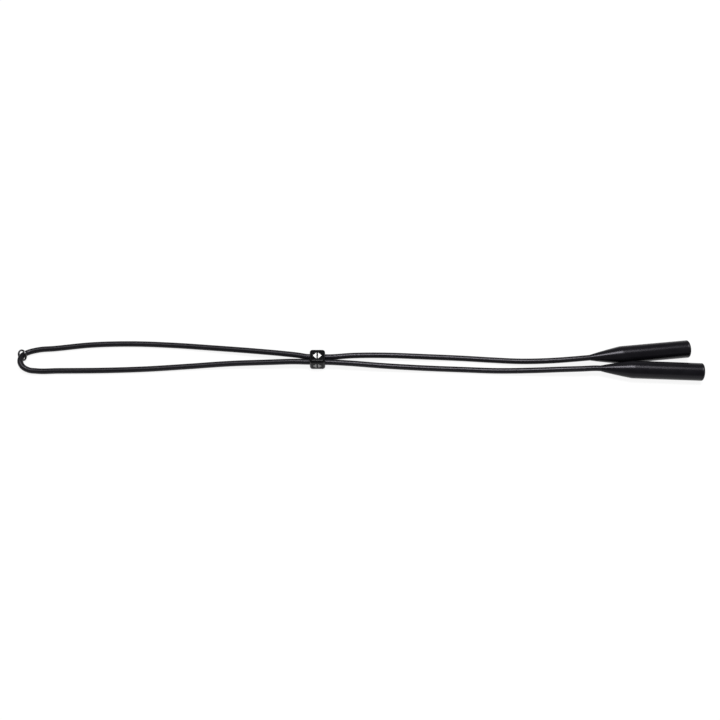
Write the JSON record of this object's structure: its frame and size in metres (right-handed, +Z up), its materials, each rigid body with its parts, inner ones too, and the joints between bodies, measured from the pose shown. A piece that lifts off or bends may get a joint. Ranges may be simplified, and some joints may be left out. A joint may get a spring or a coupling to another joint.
{
  "type": "eyeglass retainer strap",
  "caption": "Doubled rubber cord with a sliding cinch bead, soft conical sleeves that push onto spectacle temples, and a small ring on the fold.",
  "frame": {"origin": "middle of the strap's box at the surface it lies on, as pictured", "axes": "+X from the fold with the ring to the open ends of the temple grips, +Y to the far side of the picture, +Z up"},
  "size_m": [0.3104, 0.0218, 0.008],
  "materials": {
    "cord_rubber": "smooth satin black silicone",
    "grip_rubber": "soft satin black silicone",
    "bead_plastic": "polished black plastic with a white mark on each side face",
    "ring_steel": "polished wire plated in dark nickel",
    "ferrule_brass": "plain drawn tube, crimped"
  },
  "bodies": {
    "strap": {"cord": "cord_rubber", "temple_grip_far": "grip_rubber", "temple_grip_near": "grip_rubber", "cord_ferrule_far": "ferrule_brass", "cord_ferrule_near": "ferrule_brass"},
    "bead": {"slider_bead": "bead_plastic"},
    "ring": {"split_ring": "ring_steel"}
  },
  "joints": [
    {"name": "bead_slide", "type": "slide", "parent": "strap", "child": "bead", "axis": [1, 0, 0], "range_m": [-0.07, 0.07], "deforming": ["cord"]},
    {"name": "ring_swivel", "type": "hinge", "parent": "strap", "child": "ring", "pos_m": [-0.15276, 0.00367, 0.00239], "axis": [-0.4361, -0.848, 0.3014], "continuous": true}
  ]
}
